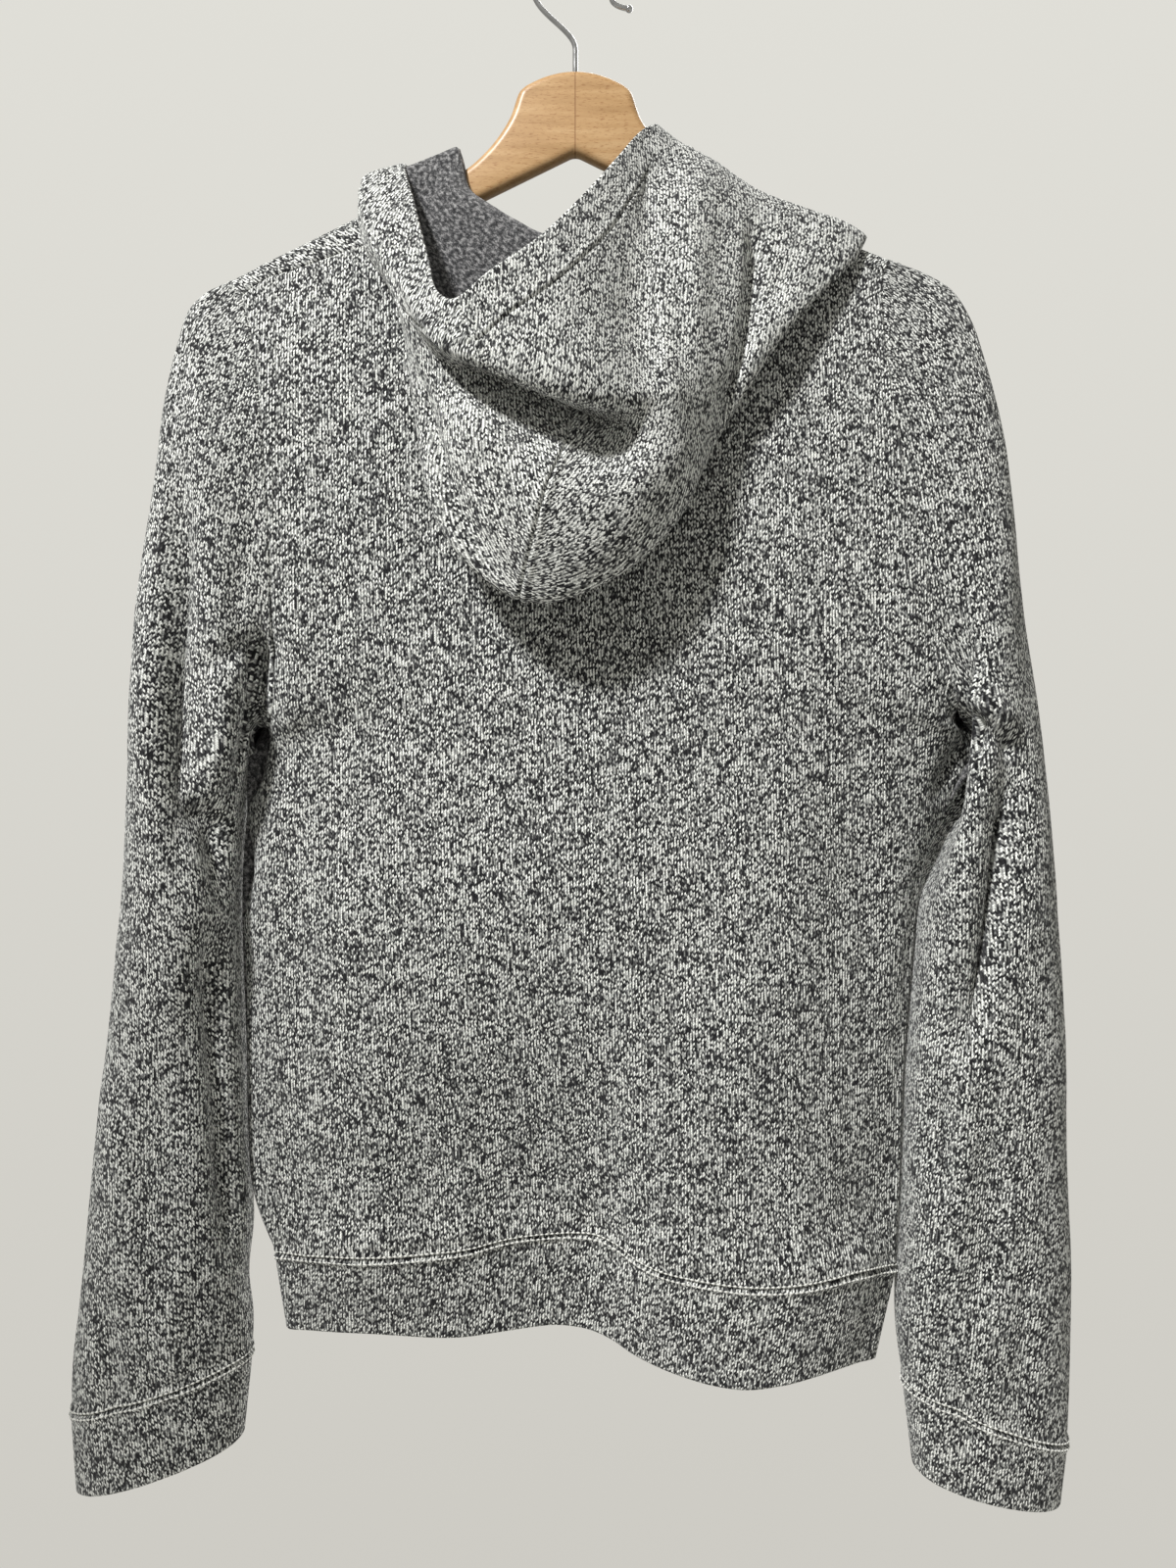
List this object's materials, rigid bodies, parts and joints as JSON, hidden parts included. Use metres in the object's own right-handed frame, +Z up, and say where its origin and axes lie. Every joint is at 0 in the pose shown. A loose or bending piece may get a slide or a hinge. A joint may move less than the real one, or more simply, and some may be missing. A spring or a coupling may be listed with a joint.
{
  "type": "pullover hoodie on a clothes hanger",
  "caption": "Pullover hoodie in marled grey knit with its hood down the back, long cuffed sleeves and a knit waistband, hanging on a wooden clothes hanger.",
  "frame": {"origin": "inside top of the hanger hook's loop, where a rail carries it", "axes": "+Z up; the garment's back faces -Y and its front +Y; the wearer's left sleeve is at -X"},
  "size_m": [0.5755, 0.129, 0.9049],
  "materials": {
    "knit": "marled grey sweater knit, brushed inside, matt",
    "wood": "clear satin lacquer on pale beech",
    "steel": "polished wire"
  },
  "bodies": {
    "root": {"body_back": "knit", "body_front": "knit", "sleeve_left": "knit", "sleeve_right": "knit", "cuff_left": "knit", "cuff_right": "knit", "waistband": "knit", "hood_left": "knit", "hood_right": "knit", "hanger_wood": "wood", "hanger_hook": "steel"}
  },
  "joints": []
}
